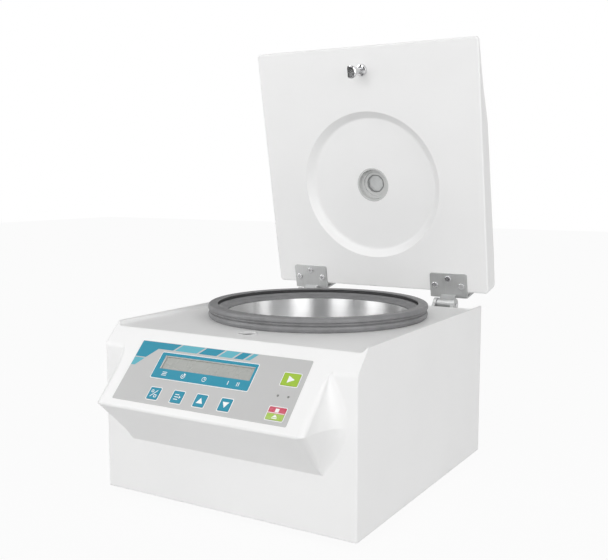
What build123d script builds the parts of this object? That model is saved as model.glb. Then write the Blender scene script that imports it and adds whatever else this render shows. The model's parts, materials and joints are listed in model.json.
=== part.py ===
from build123d import *
import os
from math import atan, cos, degrees, radians, sin, sqrt, tan

# A bench centrifuge with its lid open: moulded casing, front console, stainless chamber and hinged lid.
# Millimetres. +X is to the right, +Y to the back and +Z up.
# Places are set out from the casing's front face (Y = 0), its middle (X = 0) and its bottom edge (Z = 0).
# seat() then moves every piece so that the origin is on the bench, under the middle of the whole part.

# Casing
WIDTH = 373.0
DEPTH = 400.0
WALL = 3.0
LEAN = 44.5
BEND_Z = 192.2
BEND_R = 10.0
DECK_Z = 214.0
RIM_Z = 219.7
COVE_R = 5.6
CORNER_R = 2.5
FOOT_H = 8.0
FLOOR_Z = 1.0
FLOOR_T = 2.0

# Console on the casing's front
LIP_V = 86.0
LIP_R = 3.0
SIDE_EDGE_R = 9.0
CONSOLE_FOOT_Z = 71.0
CONSOLE_TOP_HALF = 151.5
CONSOLE_LIP_HALF = 150.7
CONSOLE_FOOT_HALF = 141.5
FLARE = 23.5
FLARE_MID_Z = 133.0
FLARE_HALF_Z = 61.0

# Control panel on the slope: X, then the distance down the slope from the bend
OVERLAY = (-127.5, 125.6, -12.1, 75.4)
OVERLAY_T = 0.5
DISPLAY = (-80.3, 54.4, 6.0, 25.1)
DISPLAY_SINK = 2.3
KEYS = {
    "key_program": (-76.6, -60.7, 52.4, 68.6),
    "key_select": (-40.7, -25.0, 52.4, 68.6),
    "key_up": (-6.4, 9.0, 52.4, 68.6),
    "key_down": (29.6, 45.0, 52.4, 68.6),
    "key_start": (96.0, 118.2, 7.8, 24.3),
    "key_stop_open": (96.0, 118.2, 53.1, 69.4),
}
KEY_PROUD = 0.4
KEY_GAP = 0.3
KEY_FLANGE = 1.2
LAMP_X = (99.3, 113.3)
LAMP_V = 38.4
LAMP_R = 1.5
BOARD_DEPTH = 7.0
BOARD_T = 1.6
BOARD_POSTS = ((-92.0, 47.0), (-92.0, 72.0), (70.0, 47.0), (126.0, 10.0), (126.0, 72.0), (86.0, 10.0))

# Chamber, on a vertical axis
AXIS_Y = 236.4
BOWL_R = 131.0
BOWL_T = 1.2
BOWL_RIM_Z = 219.0
BOWL_FLOOR_Z = 86.5
BOWL_CORNER_R = 24.0
BOOT_HOLE_R = 24.0
DECK_HOLE_R = 133.2
SEAL_FOOT_R = 155.8
SEAL_R = 156.8
SEAL_TOP_Z = 233.2
SEAL_MOUTH_R = 143.0
ARMOUR_R = 137.0
ARMOUR_T = 5.0
ARMOUR_TOP_Z = 206.0

# Drive under the bowl
MOUNT_RING_R = 72.0
MOUNT_R = 13.0
MOTOR_PLATE_Z = 19.0
MOTOR_PLATE_T = 5.0
MOTOR_PLATE_R = 88.0
MOTOR_R = 55.0
MOTOR_TOP_Z = 79.0
MOTOR_CAP_T = 12.0
SPINDLE_R = 8.0
RUNNING_GAP = 0.05
SPINDLE_TOP_Z = 194.0

# Angle rotor for four 100 ml tubes
ROTOR_FLOOR_Z = 95.0
ROTOR_TOP_Z = 188.0
ROTOR_TOP_R = 74.0
ROTOR_R = 108.0
TUBE_HOLES = 4
TUBE_R = 19.5
TUBE_DEPTH = 80.0
TUBE_TILT = 25.0
TUBE_MOUTH_R = 47.0
NUT_R = 14.0
NUT_TOP_Z = 202.0

# Lid and hinges
LID_LENGTH = 379.0
LID_HALF = 186.0
LID_CORNER_R = 5.0
LID_EDGE_R = 4.0
LINER_T = 4.0
CROWN_V = 50.0
CROWN_Z = -35.6
CROWN_SLOPE = 5.6 / 205.0
PIN_Y = 416.8
PIN_Z = 215.8
PIN_R = 3.0
PIN_BACK = 14.8
PIN_DROP = 17.8
OPEN_ANGLE = 79.33
RECESS_V = 165.6
RECESS_R = 116.0
RECESS_FLOOR_R = 105.0
RECESS_DEPTH = 10.0
SIGHT_R = 23.3
SIGHT_DEPTH = 17.0
SIGHT_TUBE_R = 25.3
SIGHT_HOLE_R = 14.5
GLASS_R = 16.6
HINGE_X = 123.0
LEAF_HALF = 30.0
FLANGE_DEPTH = 31.0
BARREL_R = 8.0
EAR_R = 9.2
TONGUE_HALF = 12.0
EAR_IN = 12.3
EAR_OUT = 17.3

# Striker and lock
STRIKER_V = 344.0
STRIKER_REACH = 38.7
STRIKER_HEAD_R = 9.5
STRIKER_HEAD_T = 4.0
STRIKER_FLAT_X = -4.0
STEM_R = 4.25
COLLAR_R = 9.0
STRIKER_Y = PIN_Y - PIN_BACK - STRIKER_V
STRIKER_HOLE_R = 11.2
CATCH_BOTTOM_Z = 199.6
CATCH_T = 3.2
PLUNGER_Z = 190.0
PLUNGER_R = 4.0

# Rear panel
INLET = (144.0, 45.0)
SWITCH = (102.0, 45.0)
FUSE = (72.0, 45.0)
ROCKER_TILT = 10.0

# The middle of the whole part, front to back, and the height of the feet
MIDDLE_Y = 202.318

PANEL = Plane(
    origin=(0, 0, BEND_Z),
    x_dir=(1, 0, 0),
    z_dir=(0, -cos(radians(LEAN)), sin(radians(LEAN))),
)
PIN_AXIS = Axis((0, PIN_Y, PIN_Z), (1, 0, 0))
LID_CLOSED = Plane(origin=(0, PIN_Y - PIN_BACK, PIN_Z + PIN_DROP), x_dir=(1, 0, 0), z_dir=(0, 0, -1))


# Helpers

def block(x0, x1, y0, y1, z0, z1):
    """A box between two corners."""
    middle = Pos((x0 + x1) / 2, (y0 + y1) / 2, (z0 + z1) / 2)
    return middle * Box(abs(x1 - x0), abs(y1 - y0), abs(z1 - z0))


def rod(radius, z0, z1, x=0.0, y=0.0):
    """An upright cylinder between two heights."""
    return Pos(x, y, (z0 + z1) / 2) * Cylinder(radius, abs(z1 - z0))


def ring(outer, inner, z0, z1, x=0.0, y=0.0):
    """An upright tube between two heights."""
    return rod(outer, z0, z1, x, y) - rod(inner, z0 - 1, z1 + 1, x, y)


def rod_x(radius, x0, x1, y, z):
    """A cylinder along X."""
    return Pos((x0 + x1) / 2, y, z) * Rot(0, 90, 0) * Cylinder(radius, abs(x1 - x0))


def rod_y(radius, y0, y1, x, z):
    """A cylinder along Y."""
    return Pos(x, (y0 + y1) / 2, z) * Rot(90, 0, 0) * Cylinder(radius, abs(y1 - y0))


def outline(*corners):
    """A flat face from (a, b) or (a, b, radius) corners, each corner rounded by its own radius."""
    radii = [corner[2] if len(corner) > 2 else 0.0 for corner in corners]
    points = [(corner[0], corner[1]) for corner in corners]
    return make_face(FilletPolyline(*points, radius=radii, close=True))


def along_x(face, x0, x1):
    """A side view, drawn in Y and Z, drawn out from x0 to x1."""
    return extrude(Plane.YZ.offset(x0) * face, amount=x1 - x0)


def along_y(face, y0, y1):
    """A front view, drawn in X and Z, drawn out from y0 to y1."""
    return extrude(Plane.XZ.offset(-y1) * face, amount=y1 - y0)


def along_z(face, z0, z1):
    """A plan, drawn out from z0 to z1."""
    return extrude(Plane.XY.offset(z0) * face, amount=z1 - z0)


def turned(face, y=0.0):
    """A solid of revolution about an upright axis, from a face drawn in radius and height."""
    return Pos(0, y, 0) * revolve(Plane.XZ * face, Axis.Z)


def rounded_rectangle(x0, x1, y0, y1, radius):
    """A rectangle between two corners, with rounded or square corners."""
    middle = Pos((x0 + x1) / 2, (y0 + y1) / 2)
    if radius == 0:
        return middle * Rectangle(abs(x1 - x0), abs(y1 - y0))
    return middle * RectangleRounded(abs(x1 - x0), abs(y1 - y0), radius)


def slope_y(z):
    """How far back the sloping front lies at a height."""
    return (z - BEND_Z) * tan(radians(LEAN))


def on_panel(box, z0, z1, radius=0.0, grow=0.0):
    """A block on the slope, from (x0, x1, v0, v1) with v down the slope and z out of it."""
    x0, x1, v0, v1 = box
    face = rounded_rectangle(x0 - grow, x1 + grow, -v1 - grow, -v0 + grow, radius)
    return PANEL.location * along_z(face, z0, z1)


def lid_place(made):
    """From the lid's own frame to the open lid: Y towards the lid's front edge, Z out of its inner face."""
    return [(LID_CLOSED.location * solid).rotate(PIN_AXIS, -OPEN_ANGLE) for solid in solids_of(made)]


def joined(shapes):
    """One shape from several that touch or overlap."""
    return shapes[0].fuse(*shapes[1:])


# Casing

def body_profile(top_z, bottom=0.0, back=DEPTH):
    """Side view of the casing without its console, up to a deck or rim height."""
    return outline(
        (0, bottom),
        (0, BEND_Z, BEND_R),
        (slope_y(top_z), top_z, 3.5),
        (back, top_z),
        (back, bottom),
    )


def lip_place():
    """Y and Z of the console's front edge, before it is rounded."""
    return -LIP_V * sin(radians(LEAN)), BEND_Z - LIP_V * cos(radians(LEAN))


def console_profile():
    """Side view of the console, closed inside the casing."""
    lip_y, lip_z = lip_place()
    inside = 20.0
    top_z = BEND_Z + 8.0
    return outline(
        (slope_y(top_z), top_z),
        (lip_y, lip_z, LIP_R),
        (0, CONSOLE_FOOT_Z),
        (inside, CONSOLE_FOOT_Z),
        (inside, top_z),
    )


def console_plan(z):
    """How far the console stands out at a height, and half its width."""
    lip_y, lip_z = lip_place()
    if z > lip_z:
        share = (z - lip_z) / (BEND_Z - lip_z)
        return max(-slope_y(z), 3.0), CONSOLE_LIP_HALF + (CONSOLE_TOP_HALF - CONSOLE_LIP_HALF) * share
    share = (z - CONSOLE_FOOT_Z) / (lip_z - CONSOLE_FOOT_Z)
    return max(-lip_y * share, 3.0), CONSOLE_FOOT_HALF + (CONSOLE_LIP_HALF - CONSOLE_FOOT_HALF) * share


def console_section(z, inset):
    """Plan of the console's sides at a height: a rounded front edge, then a flare out to the casing."""
    depth, half = console_plan(z)
    half -= inset
    flare = max(FLARE * (1 - ((z - FLARE_MID_Z) / FLARE_HALF_Z) ** 2), 1.0)
    edge_r = max(min(SIDE_EDGE_R, 0.45 * depth) - inset, 0.5)
    edge_x = half - edge_r
    edge_y = inset - depth - 0.05
    slant = sin(radians(45))
    front, back = -90.0, 22.0
    lines = []
    for side in (1, -1):
        corner = ThreePointArc(
            (side * edge_x, edge_y),
            (side * (edge_x + edge_r * slant), edge_y + edge_r * (1 - slant)),
            (side * half, edge_y + edge_r),
        )
        sweep = Bezier(
            (side * half, edge_y + edge_r),
            (side * half, inset - 0.4 * depth),
            (side * (half + 0.4 * flare), inset - 0.14 * flare),
            (side * (half + flare), inset),
        )
        lines += [Line((side * edge_x, front), (side * edge_x, edge_y)), corner, sweep]
        lines.append(Line((side * (half + flare), inset), (side * (half + flare), back)))
    lines.append(Line((-edge_x, front), (edge_x, front)))
    lines.append(Line((-half - flare, back), (half + flare, back)))
    return Plane.XY.offset(z) * make_face(Curve() + lines)


def console_sides(inset):
    """The space between the console's two flared sides."""
    lip_z = lip_place()[1]
    heights = [62.0, 71.0, 80.0, 90.0, 100.0, 110.0, 120.0, lip_z]
    heights += [140.0, 150.0, 160.0, 170.0, 180.0, 186.0, 190.0, 204.0]
    return loft([console_section(z, inset) for z in heights], ruled=True)


def make_casing_shell():
    """Front, console, sides and deck in one moulding, open at the bottom and the back."""
    half = WIDTH / 2
    body = along_x(body_profile(DECK_Z), -half, half)
    for side in (-1, 1):
        inner, outer = sorted((side * (half - WALL), side * half))
        body += along_x(body_profile(RIM_Z), inner, outer)
        inner, outer = sorted((side * (half - WALL - COVE_R), side * (half - WALL)))
        cove = along_x(body_profile(DECK_Z + COVE_R), inner, outer)
        cove -= rod_y(COVE_R, -30, DEPTH + 5, side * (half - WALL - COVE_R), DECK_Z + COVE_R)
        body += cove
    corners = along_z(rounded_rectangle(-half, half, 0, DEPTH + 20, CORNER_R), -5, RIM_Z + 5)
    body = body & corners

    console = along_x(console_profile(), -180, 180) & console_sides(0.0)
    hollow_profile = offset(console_profile(), amount=-WALL)
    hollow = along_x(hollow_profile, -180, 180) & console_sides(WALL)

    inside = along_x(
        offset(body_profile(DECK_Z, bottom=-20, back=DEPTH + 20), amount=-WALL),
        -half + WALL,
        half - WALL,
    )
    shell = (body + console) - inside - hollow
    shell -= rod(DECK_HOLE_R, DECK_Z - 20, DECK_Z + 5, 0, AXIS_Y)
    shell -= rod(STRIKER_HOLE_R + 1.0, DECK_Z - 10, DECK_Z + 5, 0, STRIKER_Y)

    shell -= on_panel(DISPLAY, -WALL - 2, 2)
    for key in KEYS.values():
        shell -= on_panel(key, -WALL - 2, 2, radius=0.8, grow=KEY_GAP)
    for x in LAMP_X:
        shell -= PANEL.location * rod(LAMP_R + 0.1, -WALL - 2, 2, x, -LAMP_V)
    for x, v in BOARD_POSTS:
        shell += PANEL.location * rod(3.0, -BOARD_DEPTH, -WALL + 0.2, x, -v)
    return shell


def make_base_plate():
    """Steel floor between the casing's walls."""
    half = WIDTH / 2 - WALL
    plate = block(-half, half, WALL, DEPTH - 2, FLOOR_Z, FLOOR_Z + FLOOR_T)
    for x in (-40, 0, 40):
        plate -= block(x - 12, x + 12, 158, 162, 0, 5)
        plate -= block(x - 12, x + 12, 312, 316, 0, 5)
    return plate


def make_rear_panel():
    """Steel back with vents and cut-outs."""
    half = WIDTH / 2 - WALL
    panel = block(-half, half, DEPTH - 2, DEPTH, FLOOR_Z, DECK_Z - WALL)
    for column in (-118.0, -58.0):
        for row in range(9):
            z = 40 + 9 * row
            slot = along_y(rounded_rectangle(column - 25, column + 25, z, z + 4.4, 2.1), DEPTH - 5, DEPTH + 5)
            panel -= slot
    x, z = INLET
    panel -= block(x - 14, x + 14, DEPTH - 5, DEPTH + 5, z - 10.3, z + 10.3)
    x, z = SWITCH
    panel -= block(x - 11, x + 11, DEPTH - 5, DEPTH + 5, z - 14, z + 14)
    x, z = FUSE
    panel -= rod_y(7.5, DEPTH - 5, DEPTH + 5, x, z)
    return panel


def make_rubber_feet():
    """Four tapered rubber feet under the base plate."""
    face = outline((0, -FOOT_H), (12.5, -FOOT_H, 1.2), (15.0, FLOOR_Z, 0.0), (0, FLOOR_Z))
    foot = revolve(Plane.XZ * face, Axis.Z)
    return [Pos(x, y, 0) * foot for x in (-145, 145) for y in (48, 360)]


def screw_head(radius, height):
    """A pan head with a cross recess, standing on Z = 0."""
    face = outline((0, 0), (radius, 0), (radius, height, height * 0.6), (0, height))
    head = revolve(Plane.XZ * face, Axis.Z)
    for turn in (0, 90):
        head -= Rot(0, 0, turn) * block(-radius * 0.55, radius * 0.55, -0.4, 0.4, height * 0.45, height + 1)
    return head


def make_panel_screws():
    """Screws round the rear panel and beside the power inlet."""
    spots = [(x, z) for x in (-172, 172) for z in (16, 106, 196)]
    spots += [(x, 203) for x in (-60, 60)]
    head = Rot(90, 0, 0) * screw_head(3.6, 1.9)
    back = Rot(180, 0, 0)
    screws = [Pos(x, DEPTH, z) * back * head for x, z in spots]
    screws += [Pos(INLET[0] + dx, DEPTH + 2.5, INLET[1]) * back * head for dx in (-20, 20)]
    return screws


# Control panel

def make_control_overlay():
    """Printed film over the slope, with windows for the display, keys and lamps."""
    film = on_panel(OVERLAY, 0, OVERLAY_T, radius=1.5)
    film -= on_panel(DISPLAY, -1, 2)
    for key in KEYS.values():
        film -= on_panel(key, -1, 2, radius=0.8, grow=KEY_GAP)
    for x in LAMP_X:
        film -= PANEL.location * rod(LAMP_R + 0.1, -1, 2, x, -LAMP_V)
    return film


def make_display_window():
    """Clear window over the display, a little below the film."""
    return on_panel(DISPLAY, -WALL, -DISPLAY_SINK + OVERLAY_T)


def make_display_module():
    """Character display behind the window."""
    x0, x1, v0, v1 = DISPLAY
    return on_panel((x0 - 5, x1 + 5, v0 - 4, v1 + 5), -WALL - 6, -WALL)


def make_key(box):
    """One key: a cap through the panel, held in by a flange behind it."""
    cap = on_panel(box, -WALL - 0.6, OVERLAY_T + KEY_PROUD, radius=0.8)
    flange = on_panel(box, -WALL - 1.2, -WALL, radius=1.5, grow=KEY_FLANGE)
    return cap + flange


def make_keypad_board():
    """L-shaped circuit board behind the keys."""
    low = on_panel((-97, 130, 43, 75), -BOARD_DEPTH - BOARD_T, -BOARD_DEPTH)
    right = on_panel((82, 130, 4, 50), -BOARD_DEPTH - BOARD_T, -BOARD_DEPTH)
    return low + right


def make_keypad_mat():
    """Domes on the board, one under each key."""
    domes = []
    for x0, x1, v0, v1 in KEYS.values():
        x, y = (x0 + x1) / 2, -(v0 + v1) / 2
        face = outline((0, 0), (5.5, 0), (5.5, 0.6), (3.4, 2.1, 0.5), (0, 2.1))
        domes.append(PANEL.location * Pos(x, y, -BOARD_DEPTH) * revolve(Plane.XZ * face, Axis.Z))
    return domes


def make_indicator_lamps():
    """Two round lamps, standing on the keypad board."""
    lamps = []
    for x in LAMP_X:
        lamp = rod(LAMP_R, -BOARD_DEPTH, OVERLAY_T + 0.2, x, -LAMP_V)
        lamps.append(PANEL.location * fillet(lamp.edges().sort_by(Axis.Z)[-1], 0.6))
    return lamps


# Chamber

def make_chamber_bowl():
    """Stainless bowl with a hole for the drive in its floor."""
    outer = BOWL_R + BOWL_T
    floor = BOWL_FLOOR_Z
    wall = outline(
        (BOOT_HOLE_R, floor),
        (outer, floor, BOWL_CORNER_R + BOWL_T),
        (outer, BOWL_RIM_Z),
        (BOWL_R, BOWL_RIM_Z),
        (BOWL_R, floor + BOWL_T, BOWL_CORNER_R),
        (BOOT_HOLE_R, floor + BOWL_T),
    )
    return turned(wall, AXIS_Y)


def make_chamber_seal():
    """Rubber ring on the deck that the lid closes on. It clips over the bowl's rim."""
    outer = BOWL_R + BOWL_T
    profile = outline(
        (DECK_HOLE_R - 0.4, DECK_Z),
        (SEAL_FOOT_R - 1.4, DECK_Z),
        (SEAL_FOOT_R, DECK_Z + 1.6, 0.8),
        (SEAL_FOOT_R + 0.9, DECK_Z + 5.0, 2.0),
        (SEAL_FOOT_R - 0.6, DECK_Z + 7.8, 0.6),
        (SEAL_FOOT_R - 3.0, DECK_Z + 8.6, 0.5),
        (SEAL_FOOT_R - 0.4, DECK_Z + 9.8, 0.6),
        (SEAL_FOOT_R - 0.4, DECK_Z + 11.2, 0.5),
        (SEAL_FOOT_R - 1.2, DECK_Z + 12.0, 0.3),
        (SEAL_R, DECK_Z + 13.2, 1.0),
        (SEAL_R, SEAL_TOP_Z, 4.0),
        (SEAL_MOUTH_R, SEAL_TOP_Z, 0.8),
        (SEAL_MOUTH_R, SEAL_TOP_Z - 1.4),
        (SEAL_MOUTH_R + 4.5, SEAL_TOP_Z - 2.4, 0.8),
        (SEAL_MOUTH_R + 4.5, SEAL_TOP_Z - 4.6, 0.8),
        (SEAL_MOUTH_R - 0.5, SEAL_TOP_Z - 5.8, 0.6),
        (SEAL_MOUTH_R - 4.0, SEAL_TOP_Z - 8.7, 2.0),
        (BOWL_R + 0.4, BOWL_RIM_Z + 2.6, 0.8),
        (BOWL_R + 0.4, BOWL_RIM_Z),
        (outer, BOWL_RIM_Z),
        (outer, DECK_Z),
    )
    return turned(profile, AXIS_Y)


def make_armour_ring():
    """Steel ring round the bowl that would hold the pieces of a broken rotor."""
    return ring(ARMOUR_R + ARMOUR_T, ARMOUR_R, FLOOR_Z + FLOOR_T, ARMOUR_TOP_Z, 0, AXIS_Y)


def make_bowl_posts():
    """Four posts that carry the bowl above the base plate."""
    reach = 98.0 * sqrt(0.5)
    posts = []
    for sx in (-1, 1):
        for sy in (-1, 1):
            posts.append(rod(6.0, FLOOR_Z + FLOOR_T, BOWL_FLOOR_Z, sx * reach, AXIS_Y + sy * reach))
    return posts


# Drive

def mount_places():
    """Centres of the three rubber mounts."""
    return [
        (MOUNT_RING_R * sin(radians(turn)), AXIS_Y + MOUNT_RING_R * cos(radians(turn)))
        for turn in (0, 120, 240)
    ]


def make_vibration_mounts():
    """Waisted rubber mounts between the base plate and the motor plate."""
    low, high = FLOOR_Z + FLOOR_T, MOTOR_PLATE_Z
    middle = (low + high) / 2
    face = outline(
        (0, low),
        (MOUNT_R, low, 1.0),
        (MOUNT_R - 2.5, middle, 6.0),
        (MOUNT_R, high, 1.0),
        (0, high),
    )
    mount = revolve(Plane.XZ * face, Axis.Z)
    return [Pos(x, y, 0) * mount for x, y in mount_places()]


def make_motor_plate():
    """Round plate that carries the motor on the mounts."""
    return ring(MOTOR_PLATE_R, 20.0, MOTOR_PLATE_Z, MOTOR_PLATE_Z + MOTOR_PLATE_T, 0, AXIS_Y)


def make_motor_housing():
    """Motor can with a bearing seat in each end."""
    low = MOTOR_PLATE_Z + MOTOR_PLATE_T
    profile = outline(
        (17.5, low),
        (MOTOR_R, low, 1.5),
        (MOTOR_R, MOTOR_TOP_Z, 4.0),
        (17.5, MOTOR_TOP_Z),
        (17.5, MOTOR_TOP_Z - MOTOR_CAP_T),
        (MOTOR_R - 5, MOTOR_TOP_Z - MOTOR_CAP_T),
        (MOTOR_R - 5, low + MOTOR_CAP_T),
        (17.5, low + MOTOR_CAP_T),
    )
    return turned(profile, AXIS_Y)


def make_motor_stator():
    """Wound stator inside the can, as a ring with twelve slots."""
    low = MOTOR_PLATE_Z + MOTOR_PLATE_T + MOTOR_CAP_T + 1
    high = MOTOR_TOP_Z - MOTOR_CAP_T - 1
    stator = ring(MOTOR_R - 5, 37.5, low, high, 0, AXIS_Y)
    for step in range(12):
        slot = Rot(0, 0, 30 * step) * block(35, 46, -2.0, 2.0, low - 1, high + 1)
        stator -= Pos(0, AXIS_Y, 0) * slot
    return stator


def make_motor_bearings():
    """Ball bearings at both ends of the motor, as plain rings."""
    low = MOTOR_PLATE_Z + MOTOR_PLATE_T
    inner = SPINDLE_R + RUNNING_GAP
    lower = ring(17.5, inner, low + 0.5, low + 11.5, 0, AXIS_Y)
    upper = ring(17.5, inner, MOTOR_TOP_Z - 11.5, MOTOR_TOP_Z - 0.5, 0, AXIS_Y)
    return [lower, upper]


def make_shaft_boot():
    """Rubber boot that closes the bowl's floor round the motor's neck."""
    profile = outline(
        (17.5, MOTOR_TOP_Z),
        (34.0, MOTOR_TOP_Z),
        (34.0, MOTOR_TOP_Z + 2.0),
        (BOOT_HOLE_R, MOTOR_TOP_Z + 4.0, 1.0),
        (BOOT_HOLE_R, BOWL_FLOOR_Z + BOWL_T + 1.5, 1.0),
        (20.0, BOWL_FLOOR_Z + BOWL_T + 1.5),
        (17.5, MOTOR_TOP_Z + 3.0, 1.0),
    )
    return turned(profile, AXIS_Y)


def make_spindle():
    """Motor shaft, with the seat that carries the rotor."""
    low = MOTOR_PLATE_Z + 1
    profile = outline(
        (0, low),
        (SPINDLE_R, low, 0.8),
        (SPINDLE_R, ROTOR_FLOOR_Z + 14),
        (11.0, ROTOR_FLOOR_Z + 14),
        (11.0, ROTOR_FLOOR_Z + 18),
        (SPINDLE_R, ROTOR_FLOOR_Z + 20),
        (SPINDLE_R - 1, SPINDLE_TOP_Z, 0.8),
        (0, SPINDLE_TOP_Z),
    )
    return turned(profile, AXIS_Y)


def make_motor_armature():
    """Magnet drum on the shaft inside the stator."""
    low = MOTOR_PLATE_Z + MOTOR_PLATE_T + MOTOR_CAP_T + 2
    high = MOTOR_TOP_Z - MOTOR_CAP_T - 2
    return ring(36.5, SPINDLE_R, low, high, 0, AXIS_Y)


def make_angle_rotor():
    """Aluminium rotor with four slanted tube holes and a hollow underneath."""
    profile = outline(
        (60.0, ROTOR_FLOOR_Z),
        (ROTOR_R, ROTOR_FLOOR_Z, 3.0),
        (ROTOR_R, ROTOR_FLOOR_Z + 16, 6.0),
        (ROTOR_TOP_R, ROTOR_TOP_Z, 5.0),
        (26.0, ROTOR_TOP_Z, 3.0),
        (24.0, ROTOR_TOP_Z - 4, 1.5),
        (SPINDLE_R, ROTOR_TOP_Z - 4),
        (SPINDLE_R, ROTOR_FLOOR_Z + 20),
        (11.0, ROTOR_FLOOR_Z + 18),
        (26.0, ROTOR_FLOOR_Z + 18, 3.0),
        (60.0, ROTOR_FLOOR_Z + 10, 3.0),
    )
    body = turned(profile, 0)
    length = TUBE_DEPTH - TUBE_R
    for step in range(TUBE_HOLES):
        hole = Pos(0, 0, -length / 2 + 15) * Cylinder(TUBE_R, length + 30)
        hole += Pos(0, 0, -length) * Sphere(TUBE_R)
        hole = Pos(TUBE_MOUTH_R, 0, ROTOR_TOP_Z) * Rot(0, -TUBE_TILT, 0) * hole
        body -= Rot(0, 0, 360 / TUBE_HOLES * step) * hole
    return Pos(0, AXIS_Y, 0) * body


def make_rotor_nut():
    """Knurled nut that holds the rotor on the spindle."""
    low = ROTOR_TOP_Z - 4
    profile = outline(
        (SPINDLE_R, low),
        (17.0, low),
        (17.0, low + 4),
        (NUT_R, low + 6, 1.0),
        (NUT_R, NUT_TOP_Z, 2.0),
        (0, NUT_TOP_Z),
        (0, SPINDLE_TOP_Z),
        (SPINDLE_R, SPINDLE_TOP_Z),
    )
    nut = turned(profile, 0)
    for step in range(12):
        nut -= Rot(0, 0, 30 * step) * rod(1.4, low + 7, NUT_TOP_Z + 1, NUT_R + 0.6, 0)
    return Pos(0, AXIS_Y, 0) * nut


# Lid, in its own frame: Y towards its front edge, Z out of its inner face

def lid_profile(low):
    """Side view of the lid's outer cover: arched at the back, thinning to the front edge."""
    return outline(
        (0, low),
        (0, -33.8, 9.0),
        (CROWN_V, CROWN_Z, 300.0),
        (CROWN_V + 205.0, CROWN_Z + 205.0 * CROWN_SLOPE, 80.0),
        (312.0, -15.6, 200.0),
        (LID_LENGTH, -6.6, 1.2),
        (LID_LENGTH, low),
    )


def lid_plan(inset=0.0):
    """Plan of the lid, with rounded corners."""
    half = LID_HALF - inset
    return rounded_rectangle(-half, half, inset, LID_LENGTH - inset, LID_CORNER_R + 1 - inset)


def make_lid_shell():
    """Outer cover of the lid, open on its inner side."""
    tall = 12.0
    outer = along_x(lid_profile(tall), -LID_HALF, LID_HALF)
    side_edges = [edge for edge in outer.edges() if abs(abs(edge.center().X) - LID_HALF) < 0.1]
    crown = [edge for edge in side_edges if edge.center().Z < -LINER_T]
    outer = fillet(crown, LID_EDGE_R) & along_z(lid_plan(), -50, -LINER_T)
    inner = along_x(offset(lid_profile(8.0), amount=-WALL), -LID_HALF + WALL, LID_HALF - WALL)
    inner = inner & along_z(lid_plan(WALL), -50, 5)
    return outer - inner - rod(SIGHT_R - 3, -60, 5, 0, RECESS_V)


def make_lid_liner():
    """Inner face of the lid, with a round recess and the hole for the sight window."""
    plate = along_z(lid_plan(), -LINER_T, 0)
    plate = fillet(plate.edges().filter_by_position(Axis.Z, -0.01, 0.01), 2.2)
    soft = 6.0
    dish = outline(
        (0, 2),
        (RECESS_R + 1.5, 2),
        (RECESS_R, 0, soft),
        (RECESS_FLOOR_R, -RECESS_DEPTH, soft),
        (0, -RECESS_DEPTH),
    )
    back = outline(
        (0, -1),
        (RECESS_R + 4, -1),
        (RECESS_R + 4, -LINER_T),
        (RECESS_FLOOR_R + 3, -RECESS_DEPTH - WALL, soft),
        (0, -RECESS_DEPTH - WALL),
    )
    liner = plate + turned(back, RECESS_V) - turned(dish, RECESS_V)
    liner -= rod(STEM_R, -20, 5, 0, STRIKER_V)
    return liner - rod(SIGHT_TUBE_R, -60, 5, 0, RECESS_V)


def make_lid_frame():
    """Steel stiffener behind the liner that takes the hinge screws and the striker."""
    plate = along_z(rounded_rectangle(-170, 170, 6, 360, 6), -LINER_T - 1.5, -LINER_T)
    plate -= rod(STEM_R, -20, 5, 0, STRIKER_V)
    return plate - rod(RECESS_R + 6, -20, 5, 0, RECESS_V)


def make_sight_bezel():
    """Stepped ring that lines the hole from the recess to the outer cover."""
    seat_z = -SIGHT_DEPTH
    low = -28.0
    profile = outline(
        (SIGHT_TUBE_R, low),
        (SIGHT_TUBE_R, -RECESS_DEPTH),
        (SIGHT_TUBE_R + 1.4, -RECESS_DEPTH, 0.2),
        (SIGHT_TUBE_R + 1.4, -RECESS_DEPTH + 0.9, 0.4),
        (SIGHT_R + 0.6, -RECESS_DEPTH + 0.9, 0.4),
        (SIGHT_R, seat_z, 0.3),
        (SIGHT_R - 4.2, seat_z, 0.4),
        (SIGHT_R - 4.6, seat_z - 2.5, 0.3),
        (SIGHT_HOLE_R, seat_z - 2.5, 0.4),
        (SIGHT_HOLE_R, low),
    )
    return turned(profile, RECESS_V) - rod(GLASS_R, seat_z - 7.5, seat_z - 4.4, 0, RECESS_V)


def make_sight_ring():
    """Outer ring on the lid's top, square to the sloping cover, with a short tube through it."""
    profile = outline(
        (SIGHT_HOLE_R, -1.5, 0.4),
        (SIGHT_R - 0.4, -1.5, 0.6),
        (SIGHT_R - 0.4, 0.0),
        (SIGHT_R - 3.4, 0.0),
        (SIGHT_R - 3.4, 3.8),
        (SIGHT_HOLE_R, 3.8),
    )
    top_z = CROWN_Z + CROWN_SLOPE * (RECESS_V - CROWN_V)
    return Pos(0, RECESS_V, top_z) * Rot(degrees(atan(CROWN_SLOPE)), 0, 0) * turned(profile)


def make_sight_glass():
    """Clear disc in the bezel."""
    return rod(GLASS_R, -SIGHT_DEPTH - 7.5, -SIGHT_DEPTH - 4.4, 0, RECESS_V)


def make_striker():
    """Stem with a D-shaped head that the lock catch slides over."""
    stem = rod(STEM_R, -6.5, STRIKER_REACH - STRIKER_HEAD_T + 0.5, 0, STRIKER_V)
    head = rod(STRIKER_HEAD_R, STRIKER_REACH - STRIKER_HEAD_T, STRIKER_REACH, 0, STRIKER_V)
    head = chamfer(head.edges().sort_by(Axis.Z)[-1], 1.5)
    head -= block(-20, STRIKER_FLAT_X, STRIKER_V - 15, STRIKER_V + 15, 30, 45)
    return stem + head


def make_striker_collar():
    """Round collar at the foot of the striker."""
    face = outline((STEM_R, 0), (COLLAR_R, 0), (COLLAR_R, 3.4, 1.6), (STEM_R + 1.6, 5.0, 1.0), (STEM_R, 5.0))
    return turned(face, STRIKER_V)


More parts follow.
